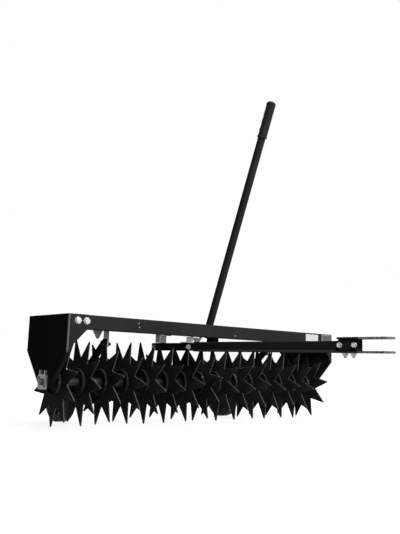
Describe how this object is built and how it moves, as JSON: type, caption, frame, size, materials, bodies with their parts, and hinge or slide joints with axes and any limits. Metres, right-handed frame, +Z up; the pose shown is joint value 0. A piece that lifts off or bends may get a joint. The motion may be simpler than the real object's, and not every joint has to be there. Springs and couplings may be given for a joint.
{
  "type": "spike aerator",
  "caption": "Tow-behind spike aerator: tine stars on one axle under a weight tray, a lever that lowers transport wheels, and a drawbar with a two-strap hitch.",
  "frame": {"origin": "on the ground under the middle of the whole machine's box; the tine axle runs along X at y 0.309 m and z 0.127 m", "axes": "+X along the tine axle, -Y forward, towards the hitch, +Z up; left pieces have negative X"},
  "size_m": [1.164, 1.0642, 1.0364],
  "materials": {
    "black_powder_coat": "satin powder coat",
    "tine_paint": "satin paint",
    "axle_steel": "dark, plain",
    "zinc_plating": "zinc plated, satin",
    "wheel_plastic": "moulded, matte",
    "grip_rubber": "soft, matte"
  },
  "bodies": {
    "frame": {"tine_axle": "axle_steel", "spacer_01": "axle_steel", "spacer_02": "axle_steel", "spacer_03": "axle_steel", "spacer_04": "axle_steel", "spacer_05": "axle_steel", "spacer_06": "axle_steel", "spacer_07": "axle_steel", "spacer_08": "axle_steel", "spacer_09": "axle_steel", "spacer_10": "axle_steel", "spacer_11": "axle_steel", "spacer_12": "axle_steel", "spacer_13": "axle_steel", "spacer_14": "axle_steel", "end_spacer_left": "axle_steel", "end_spacer_right": "axle_steel", "end_plate_left": "black_powder_coat", "end_plate_right": "black_powder_coat", "front_rail": "black_powder_coat", "rear_rail": "black_powder_coat", "weight_tray": "black_powder_coat", "axle_bearing_left": "zinc_plating", "axle_bearing_right": "zinc_plating", "drawbar_channel": "black_powder_coat", "drawbar_rear_bar": "black_powder_coat", "drawbar_hanger_front": "zinc_plating", "drawbar_hanger_rear": "zinc_plating", "hitch_block": "black_powder_coat", "hitch_strap_upper": "black_powder_coat", "hitch_strap_lower": "black_powder_coat", "shaft_hanger_left": "zinc_plating", "shaft_hanger_right": "zinc_plating"},
    "lift": {"lift_shaft": "black_powder_coat", "lever_tube": "black_powder_coat", "lever_grip": "grip_rubber", "arm_bracket_left": "zinc_plating", "arm_bracket_right": "zinc_plating", "wheel_arm_left": "black_powder_coat", "wheel_arm_right": "black_powder_coat", "wheel_bolt_left": "zinc_plating", "wheel_bolt_right": "zinc_plating"},
    "wheel_left": {"wheel_left": "wheel_plastic"},
    "wheel_right": {"wheel_right": "wheel_plastic"},
    "star_01": {"tine_star_01": "tine_paint"},
    "star_02": {"tine_star_02": "tine_paint"},
    "star_03": {"tine_star_03": "tine_paint"},
    "star_04": {"tine_star_04": "tine_paint"},
    "star_05": {"tine_star_05": "tine_paint"},
    "star_06": {"tine_star_06": "tine_paint"},
    "star_07": {"tine_star_07": "tine_paint"},
    "star_08": {"tine_star_08": "tine_paint"},
    "star_09": {"tine_star_09": "tine_paint"},
    "star_10": {"tine_star_10": "tine_paint"},
    "star_11": {"tine_star_11": "tine_paint"},
    "star_12": {"tine_star_12": "tine_paint"},
    "star_13": {"tine_star_13": "tine_paint"},
    "star_14": {"tine_star_14": "tine_paint"},
    "star_15": {"tine_star_15": "tine_paint"}
  },
  "joints": [
    {"name": "lift_hinge", "type": "hinge", "parent": "frame", "child": "lift", "pos_m": [0, 0.26215, 0.2905], "axis": [1, 0, 0], "range_deg": [-12, 20]},
    {"name": "wheel_left_spin", "type": "hinge", "parent": "lift", "child": "wheel_left", "pos_m": [-0.4275, 0.46215, 0.0699], "axis": [1, 0, 0], "continuous": true},
    {"name": "wheel_right_spin", "type": "hinge", "parent": "lift", "child": "wheel_right", "pos_m": [0.257, 0.46215, 0.0699], "axis": [1, 0, 0], "continuous": true},
    {"name": "star_01_spin", "type": "hinge", "parent": "frame", "child": "star_01", "pos_m": [-0.5334, 0.30865, 0.127], "axis": [1, 0, 0], "continuous": true},
    {"name": "star_02_spin", "type": "hinge", "parent": "frame", "child": "star_02", "pos_m": [-0.4572, 0.30865, 0.127], "axis": [1, 0, 0], "continuous": true},
    {"name": "star_03_spin", "type": "hinge", "parent": "frame", "child": "star_03", "pos_m": [-0.381, 0.30865, 0.127], "axis": [1, 0, 0], "continuous": true},
    {"name": "star_04_spin", "type": "hinge", "parent": "frame", "child": "star_04", "pos_m": [-0.3048, 0.30865, 0.127], "axis": [1, 0, 0], "continuous": true},
    {"name": "star_05_spin", "type": "hinge", "parent": "frame", "child": "star_05", "pos_m": [-0.2286, 0.30865, 0.127], "axis": [1, 0, 0], "continuous": true},
    {"name": "star_06_spin", "type": "hinge", "parent": "frame", "child": "star_06", "pos_m": [-0.1524, 0.30865, 0.127], "axis": [1, 0, 0], "continuous": true},
    {"name": "star_07_spin", "type": "hinge", "parent": "frame", "child": "star_07", "pos_m": [-0.0762, 0.30865, 0.127], "axis": [1, 0, 0], "continuous": true},
    {"name": "star_08_spin", "type": "hinge", "parent": "frame", "child": "star_08", "pos_m": [0, 0.30865, 0.127], "axis": [1, 0, 0], "continuous": true},
    {"name": "star_09_spin", "type": "hinge", "parent": "frame", "child": "star_09", "pos_m": [0.0762, 0.30865, 0.127], "axis": [1, 0, 0], "continuous": true},
    {"name": "star_10_spin", "type": "hinge", "parent": "frame", "child": "star_10", "pos_m": [0.1524, 0.30865, 0.127], "axis": [1, 0, 0], "continuous": true},
    {"name": "star_11_spin", "type": "hinge", "parent": "frame", "child": "star_11", "pos_m": [0.2286, 0.30865, 0.127], "axis": [1, 0, 0], "continuous": true},
    {"name": "star_12_spin", "type": "hinge", "parent": "frame", "child": "star_12", "pos_m": [0.3048, 0.30865, 0.127], "axis": [1, 0, 0], "continuous": true},
    {"name": "star_13_spin", "type": "hinge", "parent": "frame", "child": "star_13", "pos_m": [0.381, 0.30865, 0.127], "axis": [1, 0, 0], "continuous": true},
    {"name": "star_14_spin", "type": "hinge", "parent": "frame", "child": "star_14", "pos_m": [0.4572, 0.30865, 0.127], "axis": [1, 0, 0], "continuous": true},
    {"name": "star_15_spin", "type": "hinge", "parent": "frame", "child": "star_15", "pos_m": [0.5334, 0.30865, 0.127], "axis": [1, 0, 0], "continuous": true}
  ]
}
